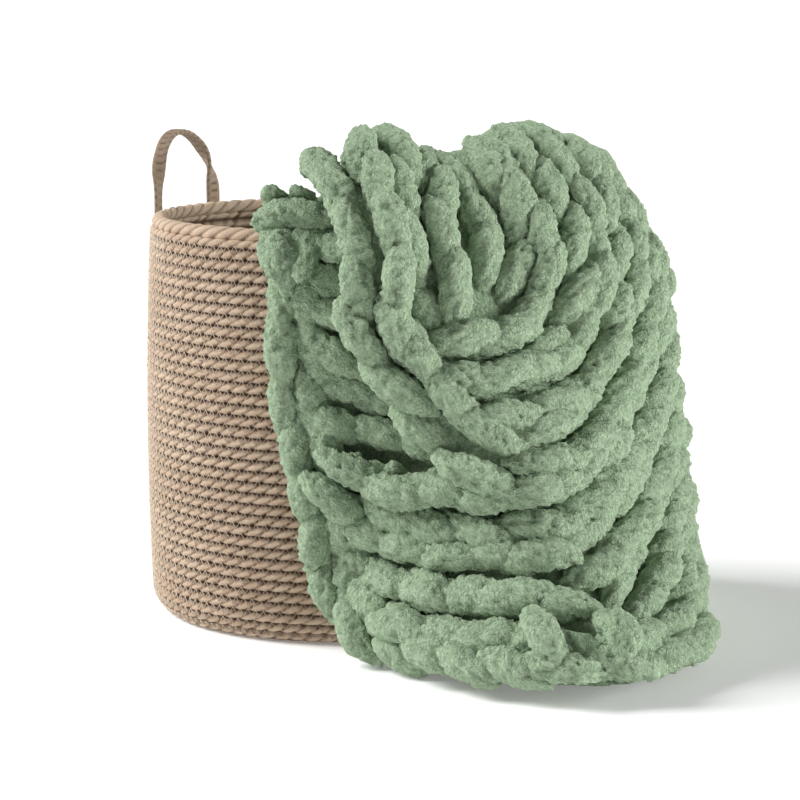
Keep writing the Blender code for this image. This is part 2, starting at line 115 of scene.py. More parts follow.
# Columns of stitches: the piece that they belong to, the layer they lie on, then angle and
# level of the points that the column's middle passes.
COLUMNS = (
    ("recess", "under", (-101, 0.92), (-88, 0.92), (-78, 0.92)),
    ("recess", "under", (-98, 0.79), (-89, 0.77), (-76, 0.76)),
    ("recess", "under", (-97, 0.64), (-87, 0.61), (-72, 0.59)),
    ("recess", "under", (-95, 0.50), (-84, 0.48), (-68, 0.45)),
    ("fold", "over", (-62, 0.40), (-68, 0.50), (-75, 0.62), (-81, 0.75), (-83, 0.88),
     (-83, 1.00), (-83, 1.25)),
    ("fold", "over", (-66, 0.66), (-70, 0.76), (-71, 0.88), (-70, 1.00), (-70, 1.25)),
    ("arcs", "over", (-58, 0.74), (-55, 0.82), (-54, 0.92), (-54, 1.05), (-56, 1.30), (-57, 1.55)),
    ("arcs", "over", (-67, 0.57), (-61, 0.58), (-52, 0.65), (-46, 0.76),
     (-44, 0.90), (-44, 1.05), (-46, 1.30), (-46, 1.55)),
    ("arcs", "over", (-63, 0.49), (-57, 0.51), (-47, 0.56), (-38, 0.68),
     (-32, 0.83), (-30, 1.00), (-32, 1.25), (-32, 1.55)),
    ("arcs", "over", (-59, 0.41), (-52, 0.44), (-40, 0.53), (-27, 0.67),
     (-19, 0.82), (-16, 1.00), (-15, 1.25), (-15, 1.55)),
    ("falls", "over", (-92, 0.37), (-81, 0.34), (-70, 0.32), (-60, 0.32), (-52, 0.36),
     (-38, 0.43), (-22, 0.54), (-8, 0.68), (-2, 0.83), (0, 1.00), (2, 1.25), (2, 1.55)),
    ("falls", "over", (-88, 0.25), (-78, 0.21), (-69, 0.20), (-60, 0.21), (-47, 0.28),
     (-28, 0.39), (-9, 0.54), (7, 0.70), (13, 0.85), (15, 1.00), (16, 1.25), (16, 1.55)),
    ("hem", "over", (-83, 0.13), (-76, 0.11), (-68, 0.11), (-60, 0.11)),
    ("rises", "over", (-51, 0.14), (-36, 0.24), (-18, 0.34), (2, 0.46), (18, 0.58)),
    ("rises", "over", (-39, 0.12), (-22, 0.20), (-3, 0.30), (15, 0.42)),
    ("rises", "over", (-24, 0.12), (-8, 0.18), (8, 0.26), (19, 0.32)),
    ("rises", "over", (-9, 0.12), (5, 0.16), (18, 0.20)),
    ("well", "under", (-101, 1.10), (-85, 1.10), (-58, 1.12)),
    ("well", "under", (-101, 1.27), (-85, 1.27), (-58, 1.27)),
    ("well", "under", (-101, 1.44), (-85, 1.44), (-58, 1.44)),
)
HEM_LEVEL = 0.045
PRESS = 0.58
PRESS_LEVEL = 0.98
PRESS_SPAN = (0.18, 0.38)
PRESS_ANGLES = (-88, -78)
KNOT = (
    ("over", (-63.5, 0.010, 0.016), (-64.0, 0.060, 0.034), (-64.0, 0.125, 0.014)),
    ("over", (-58.0, 0.010, 0.014), (-57.5, 0.055, 0.032), (-57.5, 0.110, 0.012)),
    ("under", (-112.0, 0.90, 0.010), (-103.0, 0.945, 0.014), (-91.0, 0.925, 0.010)),
    ("under", (-106.0, 0.86, 0.012), (-103.5, 0.80, 0.016), (-101.5, 0.70, 0.012)),
)
STITCH_PITCH = 0.047
LEG_FOOT = 0.0125
LEG_HEAD = 0.0215
LEG_LIFT = 0.008
LEG_SINK = 0.010
BORDER_NARROWING = 0.68

# ---------------------------------------------------------------- the basket's own form
BASKET_HEIGHT = 0.410
BASKET_BELLY = 0.2045
BASKET_BASE = 0.2000
BASKET_RIM = 0.1985
BASKET_CORNER = 0.024
BASKET_WALL = 0.011
RIM_ROPE = 0.0072
STRAP_SEWN = 0.034
STRAP_STAND_OFF = 0.0045
STRAP_TURN = -90              # degrees that the strap twists by at the top of its arch
STRAP_TURN_SPAN = (0.1, 0.7)
STRAP_EDGE_DEPTH = 0.010
STRAP_EDGE_OUT = 0.0006
STRAP_END_OUT = 0.0012
STRAP_RINGS, STRAP_SIDES = 150, 18
STRAP_PLAIT = 0.0078          # length of one plait
STRAPS = (                    # name, degrees around from +X, lean outward, rise over the rim
    ("strap_left", 148.7, 0.004, 0.076),
    ("strap_right", -31.3, 0.040, 0.020),
)
PIECE_GAP = 0.0004
THREAD_RADIUS = 0.00055
THREAD_STAND = 0.0006
THREAD_STEP = 0.0088          # along the rope, from one turn of the zigzag to the next
THREAD_CORNERS = (0, 2.1, 4.2)    # a three-sided thread
THREAD_SWING = 0.34           # of a row's height, to each side
ROW_BULGE = 0.0034            # how far a row of rope stands out
STRAND_BULGE = 0.0036         # and each strand on it
ROW_SINK = 0.0056             # how far the gaps lie behind the wall's face
STRAND_LEAN = 1.20            # strand widths that a strand leans over one row's height
STRAND_WANDER = 0.16
WALL_AROUND = 460
WALL_STEPS = 4                # points up each row
LINING_AROUND = 180
LINING_STEPS = 2
DISC_ROWS = 17
DISC_AROUND = 72
DISC_LAY = 0.033              # along the rope, from one strand to the next
RIM_STRANDS, RIM_TURNS = 3, 66
RIM_AROUND, RIM_SIDES = 620, 15


# ---------------------------------------------------------------- curves, noise and grids
def columns(table, names, *wanted):
    """The wanted columns of a table, side by side."""
    return np.array([[row[names.index(name)] for name in wanted] for row in table], float)


def through_rows(keys, rows, at):
    """A smooth curve through rows, one for each key, read at the places in at."""
    keys = np.asarray(keys, float)
    rows = np.asarray(rows, float)
    at = np.clip(np.asarray(at, float), keys[0], keys[-1])
    slope = np.gradient(rows, keys, axis=0)
    low = np.clip(np.searchsorted(keys, at, side="right") - 1, 0, len(keys) - 2)
    span = keys[low + 1] - keys[low]
    part = (at - keys[low]) / span
    if rows.ndim > 1:
        span, part = span[:, None], part[:, None]
    start = (1 + 2 * part) * (1 - part) ** 2 * rows[low] + part * (1 - part) ** 2 * span * slope[low]
    end = part ** 2 * (3 - 2 * part) * rows[low + 1] + part ** 2 * (part - 1) * span * slope[low + 1]
    return start + end


def ease(low, high, value):
    part = np.clip((value - low) / (high - low), 0, 1)
    return part * part * (3 - 2 * part)


def unit(vectors):
    return vectors / (np.linalg.norm(vectors, axis=-1, keepdims=True) + 1e-12)


TABLE_SIZE = 4096
CHANCE = np.random.RandomState(7).rand(TABLE_SIZE, 4)


def cell_chance(cell, seed):
    """Four fixed chance numbers for each cell of a lattice."""
    key = (cell[..., 0] * 73856093) ^ (cell[..., 1] * 19349663) ^ (cell[..., 2] * 83492791)
    return CHANCE[(key + seed * 7919) & (TABLE_SIZE - 1)]


def smooth_noise(points, size, seed=0):
    """Soft noise from -1 to 1 with features of a size."""
    place = np.asarray(points) / size
    cell = np.floor(place).astype(np.int64)
    part = place - cell
    part = part * part * (3 - 2 * part)
    total = 0
    for corner in np.ndindex(2, 2, 2):
        share = np.prod(np.where(np.array(corner) == 1, part, 1 - part), axis=-1)
        total = total + share * cell_chance(cell + np.array(corner), seed)[..., 0]
    return 2 * total - 1


def tufts(points, size, seed=0):
    """Rounded tufts: 1 in the middle of each and falling to 0 in the creases between."""
    place = np.asarray(points) / size
    cell = np.floor(place).astype(np.int64)
    nearest = np.full(place.shape[:-1], 9.0)
    for step in np.ndindex(3, 3, 3):
        other = cell + np.array(step) - 1
        centre = other + cell_chance(other, seed)[..., 1:]
        nearest = np.minimum(nearest, ((place - centre) ** 2).sum(-1))
    return np.clip(1 - nearest / 0.62, 0, 1) ** 0.7


def grid_faces(rows, sides, around=True, start=0):
    """Four-sided faces over a grid of points, closed around if asked."""
    last = sides if around else sides - 1
    row, side = np.meshgrid(np.arange(rows - 1), np.arange(last), indexing="ij")
    after = (side + 1) % sides
    corners = (row * sides + side, row * sides + after, (row + 1) * sides + after, (row + 1) * sides + side)
    return np.stack(corners, -1).reshape(-1, 4) + start


# ---------------------------------------------------------------- the cloth's middle surface
def under_layer(angle, level):
    """Points of the cloth as it falls without its pleat."""
    angle, level = np.asarray(angle, float), np.asarray(level, float)
    keys = columns(SECTIONS, SECTION_COLUMNS, "angle")[:, 0]
    section = through_rows(keys, columns(SECTIONS, SECTION_COLUMNS, *SECTION_COLUMNS[1:]), angle)
    *widths, crest_height, lip_height = section.T
    same = np.ones(len(section))
    radii = np.stack([*widths, LIP_RADIUS * same, END_RADIUS * same], 1)
    heights = np.stack([FLOOR_HEIGHT * same, KNEE_HEIGHT * same, WAIST_HEIGHT * same,
                        SHOULDER_HEIGHT * same, crest_height, lip_height, END_HEIGHT * same], 1)
    mix = through_rows(LEVELS, np.eye(len(LEVELS)), level)
    radius, height, turn = (mix * radii).sum(1), (mix * heights).sum(1), np.radians(angle)
    return np.stack([radius * np.cos(turn), radius * np.sin(turn), height], -1)


def normals(layer, angle, level):
    level = np.clip(level, 0.02, LEVELS[-1] - 0.02)
    across = layer(angle + 0.5, level) - layer(angle - 0.5, level)
    along = layer(angle, level + 0.01) - layer(angle, level - 0.01)
    return unit(np.cross(across, along))


def fold_at(level):
    keys = columns(FOLD, FOLD_COLUMNS, "level")[:, 0]
    return through_rows(keys, columns(FOLD, FOLD_COLUMNS, "angle", "raise", "tuck"), level)


def over_layer(angle, level):
    """Points of the cloth's front layer, which the pleat lifts."""
    angle, level = np.asarray(angle, float), np.asarray(level, float)
    edge, lift, _ = fold_at(level).T
    lift = lift * (1 - ease(*FOLD_FADE, angle - edge))
    return under_layer(angle, level) + normals(under_layer, angle, level) * lift[:, None]


LAYERS = {"under": under_layer, "over": over_layer}


def border_at(level):
    keys, angles = np.array(BORDER, float).T
    return through_rows(keys, angles, level)


def cloth_grid(across, along):
    """Rows of points over the whole cloth, going back and forth through the pleat."""
    rows = []
    for level in np.linspace(0, LEVELS[-1], along):
        start = float(border_at([level])[0])
        edge, _, tuck = fold_at([level])[0]
        tuck = max(tuck, 0.5)
        lengths = (edge + tuck - start, tuck, BACK_ANGLE - edge)
        place = np.linspace(0, sum(lengths), across)
        first = place <= lengths[0]
        second = (place > lengths[0]) & (place <= lengths[0] + lengths[1])
        angle = np.where(first, start + place, edge + place - lengths[0] - lengths[1])
        angle = np.where(second, edge + tuck - (place - lengths[0]), angle)
        levels = np.full(across, level)
        share = np.clip((place - lengths[0]) / lengths[1], 0, 1)[:, None]
        rows.append(under_layer(angle, levels) * (1 - share) + over_layer(angle, levels) * share)
    return np.array(rows)


# ---------------------------------------------------------------- stitches
def pressing(angle, level):
    """How much of its thickness a stitch keeps where the cloth lies tight over the rim."""
    near_rim = 1 - ease(*PRESS_SPAN, abs(level - PRESS_LEVEL))
    return 1 - PRESS * near_rim * (1 - ease(*PRESS_ANGLES, angle))


def column_frames(layer, points, pitch):
    """Stitch places along a column: middle, along, across and outward, a pitch apart."""
    points = np.array(points, float)
    steps = np.linspace(0, len(points) - 1, 40 * (len(points) - 1) + 1)
    angle, level = through_rows(range(len(points)), points, steps).T
    place = layer(angle, level)
    out = normals(layer, angle, level)
    run = np.concatenate([[0], np.cumsum(np.linalg.norm(np.diff(place, axis=0), axis=1))])
    count = max(1, round(run[-1] / pitch))
    frames = []
    for at in np.arange(count) * run[-1] / count:
        index = min(int(np.searchsorted(run, at)), len(run) - 2)
        along = unit(place[index + 1] - place[index])
        across = unit(np.cross(out[index], along))
        frames.append((place[index], along, across, out[index], pressing(angle[index], level[index])))
    return frames, run[-1] / count


TUFT_RELIEF = 0.0066
UNREST = {"fold": 2.4, "recess": 1.6, "edge": 1.5}      # how much messier than the rest
STITCH_LEG = (                # share of the way from foot to head, step along, lift
    (0.00, -0.42, -0.55),
    (0.22, 0.02, 0.45),
    (0.58, 0.48, 1.05),
    (0.92, 0.94, 0.75),
    (0.80, 1.36, -0.40),
)


def stitch_legs(place, pitch, narrowing, unrest, chance):
    """The two legs of one stitch: leaf-shaped lobes that dip behind at both ends."""
    middle, along, across, out, _ = place
    for side in (-1, 1):
        drift = unrest * chance.normal(0, 0.0021, 3)
        loose = chance.uniform(0.75, 1.40)
        slant = unrest * chance.normal(0, 0.0030)
        yield [middle + drift
               + side * (LEG_FOOT + share * (LEG_HEAD - LEG_FOOT)) * narrowing * across
               + slant * (step - 0.5) * across
               + step * pitch * along
               + lift * (loose * LEG_LIFT if lift > 0 else LEG_SINK) * out
               for share, step, lift in STITCH_LEG]


BACK_BAR = (                  # across the column, and behind the cloth's middle
    (-0.031, 0.004),
    (-0.016, 0.0115),
    (0, 0.0135),
    (0.016, 0.0115),
    (0.031, 0.004),
)
BACK_SIDES, BACK_RINGS = 14, 11
BACK_RADIUS = 0.82            # share of the radius in front
CLOTH_ACROSS, CLOTH_ALONG = 110, 100
LUMP_SIZE = 0.017             # of the uneven spinning
LUMP_RELIEF = 0.0017
FLOOR_GAP = 0.0006


def back_bar(place, pitch):
    """The bar of yarn that joins a stitch to its neighbour on the cloth's back."""
    middle, along, across, out, _ = place
    return [middle + wide * across + 0.3 * pitch * along - deep * out for wide, deep in BACK_BAR]


def clear_of_basket(path, radius):
    """Whether a length of yarn stays off the basket's wall and rim."""
    path = np.array(path)
    reach, height = np.hypot(path[:, 0], path[:, 1]), path[:, 2]
    off_wall = np.maximum(reach - BASKET_BELLY, BASKET_RIM - BASKET_WALL - reach)
    off_rim = np.hypot(reach - (BASKET_RIM - RIM_ROPE), height - (BASKET_HEIGHT - RIM_ROPE)) - RIM_ROPE
    gap = np.where(height < BASKET_HEIGHT - RIM_ROPE, off_wall, off_rim)
    return gap.min() > radius + 0.002 and height.min() > radius * 0.6


def yarn_mesh(paths, kept, radius, sides, rings, fullness, pile):
    """Closed lengths of plush yarn along paths, with their tufts raised: points, faces, depth."""
    paths = np.array(paths)
    given = paths.shape[1]
    mix = through_rows(range(given), np.eye(given), np.linspace(0, given - 1, rings))
    line = np.einsum("rk,nkc->nrc", mix, paths)
    along = unit(np.gradient(line, axis=1))
    guide = unit(np.cross(along[:, 0], (0.31, 0.17, 0.93)))
    part = np.linspace(0, 1, rings)
    taper = np.sin(math.pi * (0.055 + 0.89 * part)) ** fullness
    turn = np.linspace(0, 2 * math.pi, sides, endpoint=False)
    places, outward = [], []
    for ring in range(rings):
        guide = unit(guide - along[:, ring] * (guide * along[:, ring]).sum(-1, keepdims=True))
        other = np.cross(along[:, ring], guide)
        around = np.cos(turn)[None, :, None] * guide[:, None] + np.sin(turn)[None, :, None] * other[:, None]
        size = radius[:, None, None] * taper[ring]
        places.append(line[:, ring, None] + size * around)
        lean = 0.9 * (part[ring] * 2 - 1) ** 5
        outward.append(unit(around + lean * along[:, ring, None]))
    points, outward = np.stack(places, 1), np.stack(outward, 1)
    middle, press_out, share = kept
    if share is not None:
        gap = ((points - middle[:, None, None]) * press_out[:, None, None]).sum(-1, keepdims=True)
        points = points - (1 - share)[:, None, None, None] * gap * press_out[:, None, None]
    # Uneven spinning first, then tufts of pile over it, then loose ends of pile.
    points = points + outward * (LUMP_RELIEF * smooth_noise(points, LUMP_SIZE, 3))[..., None]
    height = 0.58 * tufts(points, pile, 1) + 0.32 * tufts(points, pile * 0.6, 2)
    height = height + 0.20 * smooth_noise(points, pile * 0.42, 5)
    points = points + outward * (TUFT_RELIEF * (height - 0.42))[..., None]
    points[..., 2] = np.maximum(points[..., 2], FLOOR_GAP)
    count = len(paths)
    flat = points.reshape(count, rings * sides, 3)
    ends = points[:, [0, -1]].mean(2)
    every = np.concatenate([flat, ends], 1)
    depth = np.concatenate([height.reshape(count, -1), height[:, [0, -1]].mean(2)], 1)
    size = rings * sides + 2
    quads = grid_faces(rings, sides)
    side = np.arange(sides)
    after = (side + 1) % sides
    low = np.stack([np.full(sides, rings * sides), after, side], -1)
    top = (rings - 1) * sides
    high = np.stack([np.full(sides, rings * sides + 1), top + side, top + after], -1)
    starts = (np.arange(count) * size)[:, None, None]
    quads = (quads[None] + starts).reshape(-1, 4).tolist()
    caps = (np.concatenate([low, high])[None] + starts).reshape(-1, 3).tolist()
    return every.reshape(-1, 3), quads + caps, depth.ravel()


# ---------------------------------------------------------------- finishes
class Wire:
    """One output of a node. Sums written on it add the Math nodes that they need."""

    def __init__(self, finish, socket):
        self.finish, self.socket = finish, socket

    def maths(self, operation, *values):
        inputs = dict(enumerate(values))
        return self.finish.node("ShaderNodeMath", {"operation": operation}, inputs)

    def __add__(self, other):
        return self.maths("ADD", self, other)

    __radd__ = __add__

    def __mul__(self, other):
        return self.maths("MULTIPLY", self, other)

    __rmul__ = __mul__

    def __sub__(self, other):
        return self.maths("SUBTRACT", self, other)

    def __rsub__(self, other):
        return self.maths("SUBTRACT", other, self)

    def __truediv__(self, other):
        return self.maths("DIVIDE", self, other)

    def __pow__(self, other):
        return self.maths("POWER", self, other)

    def within(self, low, high):
        """Itself, held between two limits."""
        return self.maths("MINIMUM", self.maths("MAXIMUM", self, low), high)


class Finish:
    """A material that is built up by node and by sums on its wires."""

    def __init__(self, name, sockets):
        self.material = bpy.data.materials.new(name)
        self.material.use_nodes = True
        self.tree = self.material.node_tree
        self.shader = self.tree.nodes["Principled BSDF"]
        for socket, value in sockets.items():
            self.shader.inputs[socket].default_value = value

    def node(self, kind, settings=None, inputs=None, output=0):
        made = self.tree.nodes.new(kind)
        for name, value in (settings or {}).items():
            setattr(made, name, value)
        for name, value in (inputs or {}).items():
            self.put(made.inputs[name], value)
        return Wire(self, made.outputs[output])

    def put(self, socket, value):
        if isinstance(value, Wire):
            self.tree.links.new(value.socket, socket)
        else:
            socket.default_value = value

    def feed(self, name, value):
        self.put(self.shader.inputs[name], value)

    def place(self):
        return self.node("ShaderNodeTexCoord", output="Object")

    def stored(self, name):
        return self.node("ShaderNodeAttribute", {"attribute_name": name}, output="Fac")

    def noise(self, scale, detail=3.0, rough=0.6):
        return self.node("ShaderNodeTexNoise", {}, {"Vector": self.place(), "Scale": scale,
                                                    "Detail": detail, "Roughness": rough}, "Fac")

    def cells(self, scale, ragged=0.0):
        """Distance from the middle of each cell. Ragged cells are pulled about by this much."""
        place = self.place()
        if ragged:
            pull = self.node("ShaderNodeTexNoise", {}, {"Vector": place, "Scale": scale * 1.3,
                                                        "Detail": 2.0}, "Color")
            place = self.node("ShaderNodeVectorMath", {"operation": "MULTIPLY_ADD"},
                              {0: pull, 1: (ragged, ragged, ragged), 2: place}, "Vector")
        return self.node("ShaderNodeTexVoronoi", {"feature": "F1"}, {"Vector": place, "Scale": scale},
                         "Distance")

    def blend(self, share, low, high):
        return self.node("ShaderNodeMix", {"data_type": "RGBA"}, {0: share, 6: low, 7: high}, 2)

    def bump(self, height, distance, strength=1.0):
        self.feed("Normal", self.node("ShaderNodeBump", {}, {
            "Height": height, "Distance": distance, "Strength": strength}, "Normal"))


def colour(values):
    return (*values, 1.0)


def plush_finish(settings):
    """Chenille pile, with painted shade: dark in the creases between its tufts, pale at their tips."""
    finish = Finish("plush_yarn", {"Roughness": 0.95, "Specular IOR Level": 0.18,
                                   "Sheen Weight": 0.22, "Sheen Roughness": 0.55,
                                   "Sheen Tint": colour(settings.sheen)})
    depth = finish.stored("pile")
    tuft = 1 - finish.cells(300.0, 0.0050) * 1.25
    wisp = 1 - finish.cells(640.0, 0.0024) * 1.25
    fibre = finish.noise(1100.0, 4.0, 0.75)
    relief = tuft * 0.60 + wisp * 0.32 + fibre * 0.30
    # Painted shade: where the mesh's tufts and the shader's tufts are low, the colour falls to the dark
    # crease colour.
    share = ((depth * 0.50 + relief * 0.66) * 1.15).within(0.0, 1.0)
    finish.feed("Base Color", finish.blend(share, colour(settings.painted_crease_shade), colour(settings.yarn)))
    finish.feed("Roughness", 1.0 - share * 0.12)
    finish.bump(relief, 0.0036, 1.0)
    return finish


def rope_finish(name, pale, dark, gap, twist):
    """Twisted plant fibre: straw-coloured strands with fine lengthwise fibres, with painted shade in the dark
    gap colour between strands and rows.
    """
    finish = Finish(name, {"Roughness": 0.85, "Specular IOR Level": 0.28, "Sheen Weight": 0.08,
                           "Sheen Roughness": 0.5})
    depth = finish.stored("strand")
    streak = finish.node("ShaderNodeTexNoise", {}, {
        "Vector": finish.node("ShaderNodeMapping", {}, {"Vector": finish.place(), "Scale": twist}),
        "Scale": 620.0, "Detail": 3.0, "Roughness": 0.65}, "Fac")
    patch = finish.noise(17.0, 3.0, 0.6)
    grain = finish.noise(210.0, 3.0, 0.6)
    tone = (streak * 1.25 + patch * 0.90 + grain * 0.60 - 0.85).within(0.0, 1.0)
    fibre = finish.blend(tone, colour(dark), colour(pale))
    # Painted shade: where the stored strand value is low, between strands and rows, the colour falls to the
    # dark gap colour.
    finish.feed("Base Color", finish.blend((depth * 1.9 - 0.12).within(0.0, 1.0), colour(gap), fibre))
    finish.feed("Roughness", 0.92 - tone * 0.16)
    finish.bump(streak * 0.7 + grain * 0.3, 0.0022, 0.9)
    return finish


def thread_finish(settings):
    finish = Finish("cream_thread", {"Roughness": 0.8, "Specular IOR Level": 0.3})
    tone = finish.noise(420.0, 2.0, 0.6)
    finish.feed("Base Color", finish.blend(tone, colour([0.7 * value for value in settings.thread]),
                                           colour(settings.thread)))
    finish.bump(tone, 0.0004, 0.5)
    return finish


def add_piece(name, points, faces, finish, attribute=None, values=None):
    """A mesh piece that rides on the one body and takes its finish from a slot."""
    block = bpy.data.meshes.new(name)
    block.from_pydata(np.asarray(points).tolist(), [], faces if isinstance(faces, list) else faces.tolist())
    block.shade_smooth()
    if attribute:
        stored = block.attributes.new(attribute, "FLOAT", "POINT")
        stored.data.foreach_set("value", np.asarray(values, np.float32))
    block.materials.append(finish.material)
    piece = bpy.data.objects.new(name, block)
    bpy.context.scene.collection.objects.link(piece)
    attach(piece, "root")
    return piece


# ---------------------------------------------------------------- sizes and colours
class KnitBlanketSettings(PropertyGroup):
    """Sizes and colours of the plush yarn."""
    radius: FloatProperty(name="Yarn Radius", description="Radius of the plush yarn",
                          default=0.0150, min=0.005, unit="LENGTH")
    pile: FloatProperty(name="Tuft Size", description="Width of one tuft of the pile",
                        default=0.0060, min=0.002, unit="LENGTH")
    sides: IntProperty(name="Yarn Sides", description="Points around a length of yarn", default=30, min=8)
    rings: IntProperty(name="Yarn Rings", description="Points along one leg of a stitch", default=26, min=8)
    yarn: FloatVectorProperty(name="Yarn", description="Colour of the pile's tips",
                              default=(0.585, 0.755, 0.510), subtype="COLOR", min=0, max=1)
    # Painted shade: the crease colour stands in for the shade that falls between the tufts.
    painted_crease_shade: FloatVectorProperty(name="Crease", description="Colour between the tufts",
                                default=(0.105, 0.190, 0.085), subtype="COLOR", min=0, max=1)
    sheen: FloatVectorProperty(name="Sheen", description="Tint of the pile's soft sheen",
                               default=(0.78, 0.92, 0.74), subtype="COLOR", min=0, max=1)


class RopeBasketSettings(PropertyGroup):
    """Sizes and colours of the coiled rope basket."""
    rows: IntProperty(name="Rope Rows", description="Rows of rope from the base's edge to the rim",
                      default=38, min=8)
    lay: FloatProperty(name="Rope Lay", description="Length along the rope from one strand to the next",
                       default=0.0165, min=0.004, unit="LENGTH")
    straw: FloatVectorProperty(name="Straw", description="Palest fibre of the rope",
                               default=(0.94, 0.760, 0.580), subtype="COLOR", min=0, max=1)
    brown: FloatVectorProperty(name="Brown", description="Darkest fibre of the rope",
                               default=(0.56, 0.370, 0.240), subtype="COLOR", min=0, max=1)
    # Painted shade: the gap colour stands in for the shade between the rope's strands and rows.
    gap: FloatVectorProperty(name="Gap", description="Colour between the strands",
                             default=(0.110, 0.055, 0.026), subtype="COLOR", min=0, max=1)
    thread: FloatVectorProperty(name="Thread", description="Colour of the sewing thread",
                                default=(0.80, 0.68, 0.54), subtype="COLOR", min=0, max=1)
    strap_width: FloatProperty(name="Strap Width", description="Width of a handle's strap",
                               default=0.016, min=0.004, unit="LENGTH")
    strap_thickness: FloatProperty(name="Strap Thickness", description="Thickness of a handle's strap",
                                   default=0.006, min=0.001, unit="LENGTH")
    strap_spread: FloatProperty(name="Strap Spread", description="Distance between a handle's legs",
                                default=0.100, min=0.02, unit="LENGTH")


class StudioSettings(PropertyGroup):
    """The floor's and the lights' values."""
    horizon: FloatProperty(name="Horizon", description="Strength of the surround low down",
                           default=0.32, min=0)
    overhead: FloatProperty(name="Overhead", description="Strength of the surround above",
                            default=0.10, min=0)
    key: FloatProperty(name="Key", description="Strength of the soft light at the left",
                       default=3.8, min=0)
    fill: FloatProperty(name="Fill", description="Strength of the soft light at the right",
                        default=3.8, min=0)
    glow: FloatProperty(name="Floor Glow", description="Light that the floor gives off", default=0.16, min=0)


# ---------------------------------------------------------------- the blanket
def edge_route():
    """The border down the left side, the hem along the floor and the border at the back."""
    down = [(float(border_at([level])[0]), level)
            for level in (1.5, 1.25, 1.0, 0.75, 0.5, 0.375, 0.25, 0.125)]
    hem = [(angle, HEM_LEVEL) for angle in (-80, -72, -61, -48, -32, -15, 2, 16)]
    up = [(BACK_ANGLE, level) for level in (0.125, 0.25, 0.5, 0.75, 1.0, 1.25, 1.5)]
    return down + hem + up


def stitch_places():
    """Every stitch: its piece, its frame, its pitch and how narrow it is."""
    places = []
    for part, layer, *points in COLUMNS:
        frames, pitch = column_frames(LAYERS[layer], points, STITCH_PITCH)
        places += [(part, place, pitch, 1.0) for place in frames]
    frames, pitch = column_frames(under_layer, edge_route(), STITCH_PITCH)
    places += [("edge", place, pitch, BORDER_NARROWING) for place in frames]
    return places


class OBJECT_OT_knit_stitches(Operator):
    """Makes the plush stitches of the blanket's front, border and knot"""
    bl_idname = "object.knit_stitches"
    bl_label = "Knit Stitches"

    def execute(self, context):
        settings = context.scene.knit_blanket
        finish = plush_finish(settings)
        chance = np.random.RandomState(11)
        parts = {}
        for part, place, pitch, narrowing in stitch_places():
            middle, _, _, out, share = place
            for leg in stitch_legs(place, pitch, narrowing, UNREST.get(part, 1.0), chance):
                size = settings.radius * chance.uniform(0.94, 1.07)
                parts.setdefault(part, []).append((leg, middle, out, share, size))
        for layer, *turn in KNOT:
            angle, level, lift = np.array(turn).T
            path = LAYERS[layer](angle, level) + normals(LAYERS[layer], angle, level) * lift[:, None]
            path = through_rows(range(3), path, np.linspace(0, 2, len(STITCH_LEG)))
            parts.setdefault("knot", []).append((path, path[0], np.array((0, 0, 1.0)), 1.0, settings.radius))
        for part, lengths in parts.items():
            paths, middles, outs, shares, sizes = (np.array(values) for values in zip(*lengths))
            points, faces, depth = yarn_mesh(paths, (middles, outs, shares), sizes, settings.sides,
                                             settings.rings, 0.62, settings.pile)
            add_piece(f"yarn_{part}", points, faces, finish, "pile", depth)
        return {"FINISHED"}


class OBJECT_OT_knit_back(Operator):
    """Makes the cloth behind the stitches and the bars of yarn on its back"""
    bl_idname = "object.knit_back"
    bl_label = "Knit Back"

    def execute(self, context):
        settings = context.scene.knit_blanket
        finish = plush_finish(settings)
        radius = settings.radius * BACK_RADIUS
        bars = [back_bar(place, pitch) for part, place, pitch, _ in stitch_places() if part != "edge"]
        paths = np.array([bar for bar in bars if clear_of_basket(bar, radius)])
        points, faces, depth = yarn_mesh(paths, (None, None, None), np.full(len(paths), radius),
                                         BACK_SIDES, BACK_RINGS, 0.5, settings.pile)
        backs = add_piece("yarn_back", points, faces, finish, "pile", depth)
        grid = cloth_grid(CLOTH_ACROSS, CLOTH_ALONG)
        out = unit(np.cross(np.gradient(grid, axis=1), np.gradient(grid, axis=0)))
        height = 0.7 * tufts(grid, settings.pile, 1) + 0.2 * smooth_noise(grid, 0.012, 4)
        sheet = grid + out * (0.0030 * height - 0.0015)[..., None]
        sheet[..., 2] = np.maximum(sheet[..., 2], 0.001)
        faces = grid_faces(CLOTH_ALONG, CLOTH_ACROSS, around=False)
        # The sheet's stored pile value is halved, so it takes more of the painted crease shade and reads
        # darker behind the stitches.
        cloth = add_piece("cloth", sheet.reshape(-1, 3), faces, finish, "pile",
                          0.5 * height.ravel())
        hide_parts("blanket")
        stitches = [piece for piece in bpy.data.objects if piece.name.startswith("yarn_")]
        if backs not in stitches or len(stitches) < 2:
            raise RuntimeError("the stitches aren't made yet")
        return {"FINISHED"}


# ---------------------------------------------------------------- the basket
def wall_radius(height):
    """The outside of the wall, which swells between base and rim."""
    part = np.asarray(height) / BASKET_HEIGHT
    swell = BASKET_BELLY - (BASKET_BASE + BASKET_RIM) / 2
    return BASKET_BASE + (BASKET_RIM - BASKET_BASE) * part + 4 * swell * part * (1 - part)


def wall_profile(inset, count):
    """Radius, height and outward direction up the wall, from the base's edge to the rim."""
    corner = BASKET_CORNER - inset
    bend = corner * math.pi / 2
    top = BASKET_HEIGHT - 2 * RIM_ROPE + 0.004
    rise = top - BASKET_CORNER
    run = np.linspace(0, bend + rise, count)
    turn = np.clip(run / max(bend, 1e-6), 0, 1) * math.pi / 2
    centre = float(wall_radius(BASKET_CORNER)) - BASKET_CORNER
    height = np.where(run < bend, BASKET_CORNER - corner * np.cos(turn), BASKET_CORNER + run - bend)
    radius = np.where(run < bend, centre + corner * np.sin(turn), wall_radius(height) - inset)
    out = np.where((run < bend)[:, None], np.stack([np.sin(turn), -np.cos(turn)], 1), (1.0, 0.0))
    return radius, height, out, run


